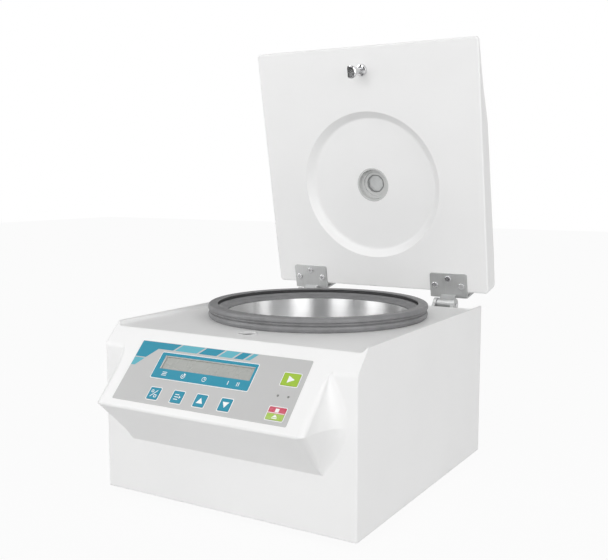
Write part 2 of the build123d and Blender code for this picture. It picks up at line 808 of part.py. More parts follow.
def hinge_spots():
    """Screw places on one hinge leaf, from its middle."""
    return ((-21.8, 10.0), (21.8, 10.0), (0.0, 21.0))


def make_hinge_leaf(side):
    """Leaf on the lid's inner face, with a flange under its edge and a tongue to the pin."""
    x = side * HINGE_X
    plate = along_z(rounded_rectangle(x - LEAF_HALF, x + LEAF_HALF, -9.0, 29.5, 3.5), 0, 2.5)
    edge = outline((-9.0, 2.5, 1.2), (-6.6, 2.5), (-6.6, -FLANGE_DEPTH), (-9.0, -FLANGE_DEPTH))
    flange = along_x(edge, x - LEAF_HALF, x + LEAF_HALF)
    tongue = along_x(
        outline((-9.0, 2.5), (-9.0, -1.0), (-4.5, -1.0), (-4.5, 2.5), (-10.5, PIN_DROP), (-20.0, PIN_DROP)),
        x - TONGUE_HALF,
        x + TONGUE_HALF,
    )
    barrel = rod_x(BARREL_R, x - TONGUE_HALF, x + TONGUE_HALF, -PIN_BACK, PIN_DROP)
    leaf = joined([plate, flange, tongue, barrel])
    return leaf - rod_x(PIN_R + RUNNING_GAP, x - 15, x + 15, -PIN_BACK, PIN_DROP)


def make_leaf_screws():
    """Three pan-head screws on each leaf."""
    head = screw_head(5.2, 2.0)
    screws = []
    for side in (-1, 1):
        for dx, v in hinge_spots():
            screws.append(Pos(side * HINGE_X + dx, v, 2.5) * head)
    return screws


# Hinge bases on the rear panel

def make_hinge_base(side):
    """Bracket on the back with two ears that hold the pin."""
    x = side * HINGE_X
    plate = along_y(rounded_rectangle(x - 26, x + 26, 158, 212, 4), DEPTH, DEPTH + 2.5)
    ear = outline(
        (DEPTH + 1, 176),
        (PIN_Y + 2, 202, 6),
        (PIN_Y + EAR_R, PIN_Z, 9),
        (PIN_Y, PIN_Z + EAR_R, 5),
        (DEPTH + 1, 212),
    )
    solids = [plate]
    for x0, x1 in ((-EAR_OUT, -EAR_IN), (EAR_IN, EAR_OUT)):
        solids.append(along_x(ear, x + x0, x + x1))
        solids.append(rod_x(EAR_R, x + x0, x + x1, PIN_Y, PIN_Z))
    return joined(solids) - rod_x(PIN_R, x - 30, x + 30, PIN_Y, PIN_Z)


def make_hinge_pins():
    """One pin through each hinge, held in the ears."""
    pins = []
    for side in (-1, 1):
        x = side * HINGE_X
        pin = rod_x(PIN_R, x - EAR_OUT - 1.6, x + EAR_OUT + 1.6, PIN_Y, PIN_Z)
        pins.append(chamfer(pin.edges().filter_by(GeomType.CIRCLE), 0.6))
    return pins


def make_hinge_screws():
    """Four screws through each hinge base."""
    head = Rot(-90, 0, 0) * screw_head(3.6, 2.0)
    screws = []
    for side in (-1, 1):
        for dx in (-21.6, 21.6):
            for z in (164, 206):
                screws.append(Pos(side * HINGE_X + dx, DEPTH + 2.5, z) * head)
    return screws


# Lock under the deck

def make_striker_escutcheon():
    """Liner of the striker's round hole in the deck, with a thin flange."""
    profile = outline(
        (STRIKER_HOLE_R, DECK_Z - WALL),
        (STRIKER_HOLE_R + 1.0, DECK_Z - WALL),
        (STRIKER_HOLE_R + 1.0, DECK_Z),
        (STRIKER_HOLE_R + 1.6, DECK_Z),
        (STRIKER_HOLE_R + 1.6, DECK_Z + 0.4, 0.2),
        (STRIKER_HOLE_R + 0.4, DECK_Z + 0.4, 0.2),
        (STRIKER_HOLE_R, DECK_Z),
    )
    return turned(profile, STRIKER_Y)


def make_lock_frame():
    """Channel hung from the deck that guides the catch."""
    top = block(-34, 92, STRIKER_Y - 24, STRIKER_Y + 24, 203.2, 205.2)
    top -= rod(STRIKER_HOLE_R + 0.4, 200, 208, 0, STRIKER_Y)
    solids = [top]
    for side in (-1, 1):
        y0, y1 = sorted((STRIKER_Y + side * 22, STRIKER_Y + side * 24))
        solids.append(block(-34, 92, y0, y1, 197.4, DECK_Z - WALL))
        y0, y1 = sorted((STRIKER_Y + side * 15.5, STRIKER_Y + side * 24))
        solids.append(block(-2, 46, y0, y1, 197.4, 199.4))
    return joined(solids)


def make_lock_catch():
    """Forked plate that slides over the striker's head."""
    x0 = 10.6
    top = CATCH_BOTTOM_Z + CATCH_T
    plate = block(x0, 42, STRIKER_Y - 21.7, STRIKER_Y + 21.7, CATCH_BOTTOM_Z, top)
    plate -= block(x0 - 1, x0 + 12, STRIKER_Y - STEM_R - 0.8, STRIKER_Y + STEM_R + 0.8, 190, 210)
    tab = block(39, 42, STRIKER_Y - 10, STRIKER_Y + 10, PLUNGER_Z - 6, top)
    return plate + tab


def make_lock_plunger():
    """Solenoid plunger fixed to the catch."""
    return rod_x(PLUNGER_R, 42, 78, STRIKER_Y, PLUNGER_Z)


def make_lock_solenoid():
    """Solenoid that draws the catch back."""
    body = block(52, 90, STRIKER_Y - 14, STRIKER_Y + 14, 176, 203.2)
    return body - rod_x(PLUNGER_R + RUNNING_GAP * 2, 50, 84, STRIKER_Y, PLUNGER_Z)


def make_lock_switch():
    """Microswitch beside the striker's path."""
    return block(-28, -8.5, STRIKER_Y - 5, STRIKER_Y + 5, 188, 203.2)


# Rear fittings

def make_power_inlet():
    """Appliance inlet with its flange and socket."""
    x, z = INLET
    flange = along_y(rounded_rectangle(x - 25, x + 25, z - 12, z + 12, 4), DEPTH, DEPTH + 2.5)
    body = block(x - 14, x + 14, DEPTH - 22, DEPTH + 2.5, z - 10.3, z + 10.3)
    socket = along_y(
        outline(
            (x - 12.2, z - 8.2),
            (x + 12.2, z - 8.2),
            (x + 12.2, z + 4.2),
            (x + 8.2, z + 8.2),
            (x - 8.2, z + 8.2),
            (x - 12.2, z + 4.2),
        ),
        DEPTH - 14,
        DEPTH + 5,
    )
    return flange + body - socket


def make_inlet_blades():
    """Three blades in the socket."""
    x, z = INLET
    spots = [(x - 7.0, z - 2.0), (x + 7.0, z - 2.0), (x, z + 2.0)]
    return [block(at_x - 1, at_x + 1, DEPTH - 14, DEPTH - 0.5, at_z - 2, at_z + 2) for at_x, at_z in spots]


def make_switch_frame():
    """Bezel and well of the power switch."""
    x, z = SWITCH
    bezel = along_y(rounded_rectangle(x - 13, x + 13, z - 16, z + 16, 1.5), DEPTH, DEPTH + 2)
    body = block(x - 11, x + 11, DEPTH - 16, DEPTH + 2, z - 14, z + 14)
    return bezel + body - block(x - 9.3, x + 9.3, DEPTH - 13, DEPTH + 5, z - 12.8, z + 12.8)


def make_power_rocker():
    """Rocker, tilted to its off side."""
    x, z = SWITCH
    face = outline((-5, -11.6), (3.2, -11.6, 0.8), (1.8, 0), (3.2, 11.6, 0.8), (-5, 11.6), (-8.5, 0, 2.0))
    rocker = along_x(face, -9.0, 9.0).rotate(Axis.X, ROCKER_TILT)
    return Pos(x, DEPTH, z) * rocker


def make_fuse_holder():
    """Panel fuse holder with its slotted cap."""
    x, z = FUSE
    holder = rod_y(7.5, DEPTH - 30, DEPTH + 1, x, z) + rod_y(9.5, DEPTH, DEPTH + 2, x, z)
    holder += rod_y(6.5, DEPTH, DEPTH + 10, x, z)
    return holder - block(x - 5, x + 5, DEPTH + 8.5, DEPTH + 12, z - 0.8, z + 0.8)


# Electronics

def make_control_board():
    """Main board, standing behind the front panel."""
    return block(-150, 10, 26, 27.6, 12, 122)


def make_board_brackets():
    """Two slotted feet that hold the main board."""
    brackets = []
    for x in (-140, -12):
        foot = block(x, x + 12, 14, 40, FLOOR_Z + FLOOR_T, FLOOR_Z + FLOOR_T + 2)
        post = block(x, x + 12, 22, 31.6, FLOOR_Z + FLOOR_T, 26)
        brackets.append(foot + post - block(x - 1, x + 13, 26, 27.6, 12, 30))
    return brackets


def make_transformer():
    """Mains transformer: a laminated core with its winding."""
    low = FLOOR_Z + FLOOR_T
    core = block(56, 124, 20, 62, low, low + 58)
    coil = block(68, 112, 12, 70, low + 12, low + 46)
    return core + coil


def solids_of(made):
    """The solids of one shape, or of a list of shapes."""
    shapes = made if isinstance(made, list) else [made]
    return [solid for shape in shapes for solid in shape.solids()]


def seat(solids):
    """From the casing's front face and bottom edge to the part's origin, as one shape to write."""
    moved = [Pos(0, -MIDDLE_Y, FOOT_H) * solid for solid in solids]
    return moved[0] if len(moved) == 1 else Compound(moved)


def build():
    """Every piece by name, as a list of its solids, and then in the part's frame."""
    pieces = {
        "casing_shell": make_casing_shell(),
        "base_plate": make_base_plate(),
        "rear_panel": make_rear_panel(),
        "rubber_feet": make_rubber_feet(),
        "panel_screws": make_panel_screws(),
        "control_overlay": make_control_overlay(),
        "display_window": make_display_window(),
        "display_module": make_display_module(),
        "keypad_board": make_keypad_board(),
        "keypad_mat": make_keypad_mat(),
        "indicator_lamps": make_indicator_lamps(),
        "chamber_bowl": make_chamber_bowl(),
        "chamber_seal": make_chamber_seal(),
        "armour_ring": make_armour_ring(),
        "bowl_posts": make_bowl_posts(),
        "vibration_mounts": make_vibration_mounts(),
        "motor_plate": make_motor_plate(),
        "motor_housing": make_motor_housing(),
        "motor_stator": make_motor_stator(),
        "motor_bearings": make_motor_bearings(),
        "shaft_boot": make_shaft_boot(),
        "spindle": make_spindle(),
        "motor_armature": make_motor_armature(),
        "angle_rotor": make_angle_rotor(),
        "rotor_nut": make_rotor_nut(),
        "hinge_base_left": make_hinge_base(-1),
        "hinge_base_right": make_hinge_base(1),
        "hinge_pins": make_hinge_pins(),
        "hinge_screws": make_hinge_screws(),
        "striker_escutcheon": make_striker_escutcheon(),
        "lock_frame": make_lock_frame(),
        "lock_catch": make_lock_catch(),
        "lock_plunger": make_lock_plunger(),
        "lock_solenoid": make_lock_solenoid(),
        "lock_switch": make_lock_switch(),
        "power_inlet": make_power_inlet(),
        "inlet_blades": make_inlet_blades(),
        "switch_frame": make_switch_frame(),
        "power_rocker": make_power_rocker(),
        "fuse_holder": make_fuse_holder(),
        "control_board": make_control_board(),
        "board_brackets": make_board_brackets(),
        "transformer": make_transformer(),
        "lid_shell": lid_place(make_lid_shell()),
        "lid_liner": lid_place(make_lid_liner()),
        "lid_frame": lid_place(make_lid_frame()),
        "sight_bezel": lid_place(make_sight_bezel()),
        "sight_ring": lid_place(make_sight_ring()),
        "sight_glass": lid_place(make_sight_glass()),
        "striker": lid_place(make_striker()),
        "striker_collar": lid_place(make_striker_collar()),
        "hinge_leaf_left": lid_place(make_hinge_leaf(-1)),
        "hinge_leaf_right": lid_place(make_hinge_leaf(1)),
        "leaf_screws": lid_place(make_leaf_screws()),
    }
    for name, box in KEYS.items():
        pieces[name] = make_key(box)
    return {name: seat(solids_of(made)) for name, made in pieces.items()}


os.makedirs("parts", exist_ok=True)
PIECES = build()
for node, shape in PIECES.items():
    export_step(shape, f"parts/{node}.step")
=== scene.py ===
"""Looks of the bench centrifuge: materials for every CAD node, the printed panel and small marks.

Lengths are in metres unless a name ends in MM. Panel places are in millimetres, as (x, v):
x to the right of the middle, and v down the slope from the bend at its top.
"""

import json
import math

import bmesh
import bpy
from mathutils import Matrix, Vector


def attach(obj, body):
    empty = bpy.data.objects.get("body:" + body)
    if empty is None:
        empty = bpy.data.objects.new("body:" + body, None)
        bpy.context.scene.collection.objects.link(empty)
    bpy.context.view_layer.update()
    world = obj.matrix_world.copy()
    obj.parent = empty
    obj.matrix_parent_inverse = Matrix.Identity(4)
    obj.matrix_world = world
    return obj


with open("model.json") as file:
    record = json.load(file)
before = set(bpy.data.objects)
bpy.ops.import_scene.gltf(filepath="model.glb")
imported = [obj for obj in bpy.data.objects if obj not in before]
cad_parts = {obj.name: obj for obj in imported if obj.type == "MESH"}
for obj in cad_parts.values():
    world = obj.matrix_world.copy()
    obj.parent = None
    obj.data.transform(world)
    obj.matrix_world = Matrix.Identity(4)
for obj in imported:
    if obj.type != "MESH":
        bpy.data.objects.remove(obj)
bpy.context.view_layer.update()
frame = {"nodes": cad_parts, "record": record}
nodes = frame["nodes"]

MM_IN_M = 1000.0

# The slope of the console, as part.py has it
LEAN = math.radians(44.5)
BEND_Y = -0.202318
BEND_Z = 0.2002
FILM_TOP_MM = 0.5
KEY_TOP_MM = 0.9
PRINT_MM = 0.06

# Panel layout: x0, x1, v0, v1
OVERLAY_MM = (-127.5, 125.6, -12.1, 75.4)
DISPLAY_MM = (-80.3, 54.4, 6.0, 25.1)
DISPLAY_FRAME_MM = (-87.2, 57.8, 1.9, 38.8)
KEYS_MM = {
    "key_program": (-76.6, -60.7, 52.4, 68.6),
    "key_select": (-40.7, -25.0, 52.4, 68.6),
    "key_up": (-6.4, 9.0, 52.4, 68.6),
    "key_down": (29.6, 45.0, 52.4, 68.6),
    "key_start": (96.0, 118.2, 7.8, 24.3),
    "key_stop_open": (96.0, 118.2, 53.1, 69.4),
}
STOP_SPLIT_V_MM = 60.6
SYMBOLS_V_MM = 31.8
FRAME_CORNER_MM = 1.6
KEY_CORNER_MM = 0.8

# The stripes in the panel's top left corner
PRINT_EDGE_MM = 0.4
STRIPE_SLANT_MM = 9.0
STRIPE_FOOT_V_MM = -2.0
STRIPE_WIDTHS_MM = (34, 27, 20, 13, 7)
STRIPE_GAP_MM = 3

# The chamber's axis, the rotor's top, and the axis of the striker's hole
AXIS_Y = 0.034082
ROTOR_TOP_Z = 0.196
STRIKER_HOLE_Y = -0.144318

# Painted shade in places that little light reaches: distance from the axis, lowest and highest z, and tone of
# the shade
SEAL_GROOVE_SHADE = (0.1485, 0.2354, 0.2396, (0.07, 0.07, 0.072))
STRIKER_HOLE_SHADE = (0.0119, 0.202, 0.2190, (0.08, 0.08, 0.08))

# The hinge pin, the lid's open angle, and how far its inner face lies from the pin
PIN_Y = 0.214482
PIN_Z = 0.2238
OPEN_ANGLE = math.radians(79.33)
PIN_BACK_MM = 14.8
PIN_DROP_MM = 17.8

# The rim round the sight window's disc
SIGHT_V_MM = 165.6
GLASS_FACE_MM = -21.4
RIM_OUTER_R_MM = 14.3
RIM_INNER_R_MM = 12.9
RIM_HEIGHT_MM = 0.8

# The rear panel's outer face, and the rating plate on it: x0, x1, z0, z1
BACK_Y = 0.197682
FOOT_MM = 8.0
PLATE_MM = (100.0, 160.0, 92.0, 128.0)
PLATE_T_MM = 0.4
BAR_MM = 1.6

# Numbers on the rotor: their size, line width, and how far their feet are from the axis
DIGIT_WIDTH_MM = 4.0
DIGIT_HEIGHT_MM = 7.0
DIGIT_LINE_MM = 0.9
DIGIT_FOOT_R_MM = 58.0

# Camera, from the photograph's perspective
CAMERA_PLACE = (0.61615, -1.039668, 0.41689)
CAMERA_AZIMUTH = 30.7736
CAMERA_PITCH = 6.6818
CAMERA_LENS_MM = 51.579
SENSOR_MM = 36.0

# Daylight of the studio, and the floor
HORIZON_LIGHT = 0.93
ZENITH_LIGHT = 0.48
FLOOR_TONE = (0.56, 0.56, 0.56)
FLOOR_WHITE = 0.94
FLOOR_REACH = 6.0
FULL_WHITE = (1, 1, 1, 1)

# Soft lights: name, place, target, width and height, power in watts
LIGHTS = (
    ("key_light", (0.0, -2.9, 1.0), (0, 0, 0.25), (2.2, 1.6), 29),
    ("side_light", (2.8, -0.5, 1.1), (0, 0, 0.2), (1.6, 1.6), 18),
)

# Upright cards round the part that mirror in the bowl: from azimuth, to azimuth, strength
CARD_REACH = 1.6
CARD_LOW = 0.1
CARD_HIGH = 4.0
CARDS = (
    (-193, -163, 0.1),
    (-163, -131, 3.4),
    (-131, -104, 0.05),
    (-104, -79, 2.7),
    (-79, -49, 0.03),
    (-49, -22, 3.3),
    (-22, 12, 0.1),
    (12, 26, 3.4),
    (26, 70, 0.3),
    (120, 150, 0.35),
)


# Node trees

def new_material(name):
    """An empty node material and its shader."""
    material = bpy.data.materials.new(name)
    material.use_nodes = True
    return material, material.node_tree, material.node_tree.nodes["Principled BSDF"]


def feed(tree, socket, value):
    """Links an output to a socket, or sets the socket to a plain value."""
    if isinstance(value, bpy.types.NodeSocket):
        tree.links.new(value, socket)
    else:
        socket.default_value = value


def add_node(tree, kind, inputs=None, **settings):
    """A node with its settings and the values or links of its inputs."""
    node = tree.nodes.new(kind)
    for key, value in settings.items():
        setattr(node, key, value)
    for key, value in (inputs or {}).items():
        feed(tree, node.inputs[key], value)
    return node


def calculate(tree, operation, first, second):
    """The result of a calculation with two values."""
    return add_node(tree, "ShaderNodeMath", {0: first, 1: second}, operation=operation).outputs["Value"]


def object_point(tree):
    """Coordinates fixed to the part."""
    return add_node(tree, "ShaderNodeTexCoord").outputs["Object"]


def object_place(tree, scale=(1, 1, 1), turn=(0, 0, 0)):
    """Coordinates fixed to the part, scaled and turned."""
    inputs = {"Vector": object_point(tree), "Scale": scale, "Rotation": turn}
    return add_node(tree, "ShaderNodeMapping", inputs).outputs["Vector"]


def about_axis(tree, y):
    """Coordinates from an upright axis at y, and the distance from that axis."""
    inputs = {0: object_point(tree), 1: (0, y, 0)}
    centred = add_node(tree, "ShaderNodeVectorMath", inputs, operation="SUBTRACT")
    parts = add_node(tree, "ShaderNodeSeparateXYZ", {"Vector": centred.outputs["Vector"]}).outputs
    flat = add_node(tree, "ShaderNodeCombineXYZ", {"X": parts["X"], "Y": parts["Y"]})
    distance = add_node(tree, "ShaderNodeVectorMath", {0: flat.outputs["Vector"]}, operation="LENGTH")
    return parts, distance.outputs["Value"]


def noise(tree, place, scale, detail=3.0, roughness=0.5):
    """A noise value from 0 to 1."""
    inputs = {"Vector": place, "Scale": scale, "Detail": detail, "Roughness": roughness}
    return add_node(tree, "ShaderNodeTexNoise", inputs).outputs["Fac"]


def spread(tree, value, low, high, from_low=0.3, from_high=0.7):
    """A value stretched from one range to another."""
    inputs = {"Value": value, "From Min": from_low, "From Max": from_high, "To Min": low, "To Max": high}
    return add_node(tree, "ShaderNodeMapRange", inputs).outputs["Result"]


def mixed(tree, factor, first, second):
    """A colour between two colours. The colour mix has its sockets at 0, 6 and 7, and its result at 2."""
    node = add_node(tree, "ShaderNodeMix", {}, data_type="RGBA")
    for index, value in ((0, factor), (6, first), (7, second)):
        feed(tree, node.inputs[index], value)
    return node.outputs[2]


def shade(colour, factor=1):
    """A colour made lighter or darker."""
    return (colour[0] * factor, colour[1] * factor, colour[2] * factor, 1.0)


def tint(tree, shader, pattern, colour, darker, lighter):
    """Base colour that drifts with a pattern between a darker and a lighter tone."""
    tone = mixed(tree, spread(tree, pattern, 0, 1), shade(colour, darker), shade(colour, lighter))
    tree.links.new(tone, shader.inputs["Base Color"])


def roughen(tree, shader, pattern, low, high):
    """Roughness that drifts with a pattern."""
    tree.links.new(spread(tree, pattern, low, high), shader.inputs["Roughness"])


def bumped(tree, shader, height, distance_mm, strength, bevel_mm=0.0):
    """Bump on the shader's normal, over edges that are softened by a bevel radius."""
    inputs = {"Height": height, "Distance": distance_mm / MM_IN_M, "Strength": strength}
    if bevel_mm:
        bevel = add_node(tree, "ShaderNodeBevel", {"Radius": bevel_mm / MM_IN_M}, samples=6)
        inputs["Normal"] = bevel.outputs["Normal"]
    bump = add_node(tree, "ShaderNodeBump", inputs)
    tree.links.new(bump.outputs["Normal"], shader.inputs["Normal"])


# Materials

def plastic(name, colour, roughness, grain_mm, depth_mm, variation, bevel_mm=0.0, coat=0.0, gloss=0.5):
    """Moulded or printed plastic with a fine grain and a slight drift of tone."""
    material, tree, shader = new_material(name)
    place = object_place(tree)
    tint(tree, shader, noise(tree, place, 9.0, 4.0), colour, 1 - variation, 1 + variation)
    roughen(tree, shader, noise(tree, place, 38.0, 5.0, 0.6), roughness - 0.05, roughness + 0.06)
    bumped(tree, shader, noise(tree, place, MM_IN_M / grain_mm, 2.0), depth_mm, 0.5, bevel_mm)
    shader.inputs["Specular IOR Level"].default_value = gloss
    if coat:
        shader.inputs["Coat Weight"].default_value = coat
        shader.inputs["Coat Roughness"].default_value = 0.12
    return material


def rubber(name, colour, roughness):
    """Moulded rubber with a dusty drift of tone."""
    material, tree, shader = new_material(name)
    place = object_place(tree)
    tint(tree, shader, noise(tree, place, 60.0, 6.0, 0.65), colour, 0.88, 1.14)
    roughen(tree, shader, noise(tree, place, 25.0), roughness - 0.08, roughness + 0.1)
    bumped(tree, shader, noise(tree, place, 2600.0, 2.0), 0.02, 0.5, 0.4)
    return material


def brushed(name, colour, roughness, scale, depth_mm, variation, bevel_mm=0.3):
    """Metal with fine straight lines: the large numbers of scale are across them."""
    material, tree, shader = new_material(name)
    lines = noise(tree, object_place(tree, scale), 1.0)
    tint(tree, shader, lines, colour, 1 - variation, 1 + variation)
    roughen(tree, shader, noise(tree, object_place(tree), 30.0, 4.0), roughness - 0.06, roughness + 0.08)
    shader.inputs["Metallic"].default_value = 1.0
    bumped(tree, shader, lines, depth_mm, 0.4, bevel_mm)
    return material


def turned_metal(name, colour, roughness, depth_mm=0.006, variation=0.05, drawn=0.0):
    """Metal turned about the chamber's axis, with fine rings that may draw highlights out up the wall."""
    material, tree, shader = new_material(name)
    parts, radius = about_axis(tree, AXIS_Y)
    angle = calculate(tree, "ARCTAN2", parts["Y"], parts["X"])
    rings_at = add_node(tree, "ShaderNodeCombineXYZ", {"X": radius, "Y": parts["Z"], "Z": angle})
    inputs = {"Vector": rings_at.outputs["Vector"], "Scale": (1600, 1600, 1.2)}
    rings = noise(tree, add_node(tree, "ShaderNodeMapping", inputs).outputs["Vector"], 1.0)
    tint(tree, shader, rings, colour, 1 - variation, 1 + variation)
    roughen(tree, shader, noise(tree, object_place(tree), 14.0, 4.0), roughness - 0.03, roughness + 0.05)
    shader.inputs["Metallic"].default_value = 1.0
    bumped(tree, shader, rings, depth_mm, 0.3, 0.4)
    if drawn:
        tangent = add_node(tree, "ShaderNodeTangent", direction_type="RADIAL", axis="Z")
        tree.links.new(tangent.outputs["Tangent"], shader.inputs["Tangent"])
        shader.inputs["Anisotropic"].default_value = drawn
        shader.inputs["Anisotropic Rotation"].default_value = 0.25
    return material


def polished(name, colour, roughness=0.1):
    """Bright metal with faint smudges."""
    material, tree, shader = new_material(name)
    smudge = noise(tree, object_place(tree), 120.0, 5.0, 0.6)
    tint(tree, shader, smudge, colour, 0.94, 1.04)
    roughen(tree, shader, smudge, roughness, roughness + 0.12)
    shader.inputs["Metallic"].default_value = 1.0
    bumped(tree, shader, smudge, 0.004, 0.3, 0.2)
    return material


def liquid_crystal(name):
    """A grey-green liquid crystal behind its window, with the faint cells of an unlit character display."""
    material, tree, shader = new_material(name)
    place = object_place(tree, turn=(LEAN - math.pi / 2, 0, 0))
    inputs = {
        "Vector": place,
        "Color1": (0.262, 0.272, 0.252, 1),
        "Color2": (0.250, 0.260, 0.240, 1),
        "Mortar": (0.275, 0.285, 0.265, 1),
        "Scale": 100.0,
        "Mortar Size": 0.03,
        "Brick Width": 0.52,
        "Row Height": 0.72,
    }
    cells = add_node(tree, "ShaderNodeTexBrick", inputs, offset=0.0).outputs["Color"]
    cloud = spread(tree, noise(tree, object_place(tree), 20.0, 2.0), 0, 0.5)
    tree.links.new(mixed(tree, cloud, cells, (0.24, 0.25, 0.23, 1)), shader.inputs["Base Color"])
    roughen(tree, shader, noise(tree, place, 50.0), 0.22, 0.32)
    shader.inputs["Coat Weight"].default_value = 0.3
    return material


def clouded(name):
    """Clouded clear plastic."""
    material, tree, shader = new_material(name)
    shader.inputs["Transmission Weight"].default_value = 0.5
    shader.inputs["IOR"].default_value = 1.45
    haze = noise(tree, object_place(tree), 160.0, 4.0)
    tone = mixed(tree, spread(tree, haze, 0, 1), (0.62, 0.63, 0.63, 1), (0.70, 0.71, 0.71, 1))
    tree.links.new(tone, shader.inputs["Base Color"])
    roughen(tree, shader, haze, 0.12, 0.20)
    return material


def two_tone_key(name, upper, lower):
    """The stop and open key: one colour over the other, split along the slope."""
    material, tree, shader = new_material(name)
    parts = add_node(tree, "ShaderNodeSeparateXYZ", {"Vector": object_point(tree)}).outputs
    split_z = BEND_Z - STOP_SPLIT_V_MM / MM_IN_M * math.cos(LEAN)
    above = calculate(tree, "GREATER_THAN", parts["Z"], split_z)
    cloud = spread(tree, noise(tree, object_place(tree), 300.0), 0.0, 0.12)
    both = mixed(tree, above, shade(lower), shade(upper))
    tree.links.new(mixed(tree, cloud, both, (0.9, 0.9, 0.9, 1)), shader.inputs["Base Color"])
    roughen(tree, shader, noise(tree, object_place(tree), 90.0), 0.38, 0.5)
    bumped(tree, shader, noise(tree, object_place(tree), 2400.0), 0.01, 0.4, 0.3)
    return material


def board(name):
    """Green solder mask with paler tracks."""
    material, tree, shader = new_material(name)
    place = object_place(tree)
    tracks = add_node(tree, "ShaderNodeTexVoronoi", {"Vector": place, "Scale": 160.0}, distance="CHEBYCHEV")
    edges = spread(tree, tracks.outputs["Distance"], 0, 1, 0.30, 0.36)
    tone = mixed(tree, edges, (0.02, 0.13, 0.06, 1), (0.03, 0.22, 0.10, 1))
    tree.links.new(tone, shader.inputs["Base Color"])
    roughen(tree, shader, noise(tree, place, 80.0), 0.3, 0.45)
    return material


def paint_hollow_shade(material, axis_y, radius, low, high, tone):
    """Paints shade into a material inside an upright drum, for a groove or hole that little light reaches."""
    tree = material.node_tree
    base = tree.nodes["Principled BSDF"].inputs["Base Color"]
    parts, distance = about_axis(tree, axis_y)
    near = calculate(tree, "LESS_THAN", distance, radius)
    above = calculate(tree, "GREATER_THAN", parts["Z"], low)
    below = calculate(tree, "LESS_THAN", parts["Z"], high)
    inside = calculate(tree, "MULTIPLY", near, calculate(tree, "MULTIPLY", above, below))
    # Painted shade: the base colour turns to the dark tone inside the drum
    tree.links.new(mixed(tree, inside, base.links[0].from_socket, shade(tone)), base)


TEAL = (0.007, 0.245, 0.36)
PALE_TEAL = (0.10, 0.41, 0.50)
GREEN = (0.32, 0.50, 0.03)
RED = (0.52, 0.012, 0.065)

# Plastics: colour, roughness, grain size and depth in mm, drift of tone, bevel in mm.
# Rubbers: colour and roughness. Brushed: colour, roughness, scale of the lines, depth in mm, drift, bevel.
# Turned: colour, roughness, depth of the rings in mm, drift. Polished: colour and roughness.
MATERIALS = {
    "casing_plastic": plastic("casing_plastic", (0.845, 0.845, 0.843), 0.42, 0.7, 0.012, 0.012, 1.6),
    "liner_plastic": plastic("liner_plastic", (0.865, 0.865, 0.863), 0.40, 0.7, 0.010, 0.012, 1.2),
    "rear_paint": plastic("rear_paint", (0.74, 0.735, 0.71), 0.5, 0.9, 0.03, 0.02, 0.4),
    "plated_steel": brushed("plated_steel", (0.55, 0.56, 0.58), 0.4, (300, 300, 300), 0.01, 0.12),
    "bowl_stainless": turned_metal("bowl_stainless", (0.86, 0.86, 0.86), 0.36, 0.002, 0.03, drawn=0.95),
    "seal_rubber": rubber("seal_rubber", (0.19, 0.19, 0.195), 0.45),
    "foot_rubber": rubber("foot_rubber", (0.03, 0.03, 0.031), 0.65),
    "overlay_film": plastic("overlay_film", (0.48, 0.48, 0.478), 0.42, 0.35, 0.008, 0.015),
    "display_lens": liquid_crystal("display_lens"),
    "module_black": plastic("module_black", (0.02, 0.02, 0.02), 0.5, 0.6, 0.02, 0.1),
    "board_green": board("board_green"),
    "dome_silicone": rubber("dome_silicone", (0.35, 0.36, 0.37), 0.5),
    "lamp_lens": plastic("lamp_lens", (0.16, 0.165, 0.155), 0.25, 0.5, 0.004, 0.05, coat=0.5),
    "key_teal": plastic("key_teal", TEAL, 0.42, 0.35, 0.008, 0.03, 0.3, gloss=0.3),
    "key_green": plastic("key_green", GREEN, 0.42, 0.35, 0.008, 0.03, 0.3, gloss=0.3),
    "key_red": two_tone_key("key_red", RED, GREEN),
    "rotor_aluminium": turned_metal("rotor_aluminium", (0.62, 0.63, 0.64), 0.3, 0.01, 0.08),
    "shaft_steel": turned_metal("shaft_steel", (0.56, 0.56, 0.57), 0.2),
    "hinge_metal": brushed("hinge_metal", (0.50, 0.505, 0.505), 0.46, (2200, 60, 60), 0.006, 0.06, 0.5),
    "bright_steel": polished("bright_steel", (0.66, 0.66, 0.67)),
    "motor_paint": plastic("motor_paint", (0.05, 0.05, 0.055), 0.4, 1.2, 0.02, 0.1, 0.5),
    "winding_copper": brushed("winding_copper", (0.60, 0.28, 0.12), 0.35, (60, 60, 1800), 0.03, 0.2),
    "core_iron": brushed("core_iron", (0.12, 0.12, 0.12), 0.55, (1600, 40, 40), 0.03, 0.25),
    "fitting_black": plastic("fitting_black", (0.025, 0.025, 0.026), 0.4, 0.6, 0.015, 0.12, 0.4),
    "contact_brass": polished("contact_brass", (0.62, 0.50, 0.25), 0.18),
    "bezel_grey": plastic("bezel_grey", (0.58, 0.585, 0.58), 0.25, 0.4, 0.004, 0.03, 0.3),
    "sight_clear": clouded("sight_clear"),
    "print_white": plastic("print_white", (0.84, 0.84, 0.835), 0.42, 0.35, 0.004, 0.01),
    "print_teal": plastic("print_teal", TEAL, 0.42, 0.35, 0.008, 0.03, gloss=0.3),
    "print_pale_teal": plastic("print_pale_teal", PALE_TEAL, 0.42, 0.35, 0.008, 0.03, gloss=0.3),
    "print_dark": plastic("print_dark", (0.05, 0.05, 0.052), 0.45, 0.35, 0.004, 0.05),
    "outline_grey": plastic("outline_grey", (0.20, 0.205, 0.205), 0.3, 0.4, 0.004, 0.03),
    "plate_silver": brushed("plate_silver", (0.62, 0.62, 0.63), 0.4, (60, 60, 2400), 0.006, 0.06),
}

# Painted shade in the seal's groove
paint_hollow_shade(MATERIALS["seal_rubber"], AXIS_Y, *SEAL_GROOVE_SHADE)
# Painted shade in the striker's hole in the deck
paint_hollow_shade(MATERIALS["casing_plastic"], STRIKER_HOLE_Y, *STRIKER_HOLE_SHADE)

for row in frame["record"]["subparts"]:
    node = nodes[row["node"]]
    node.data.materials.clear()
    node.data.materials.append(MATERIALS[row["material_slot"]])


# Surfaces that carry prints

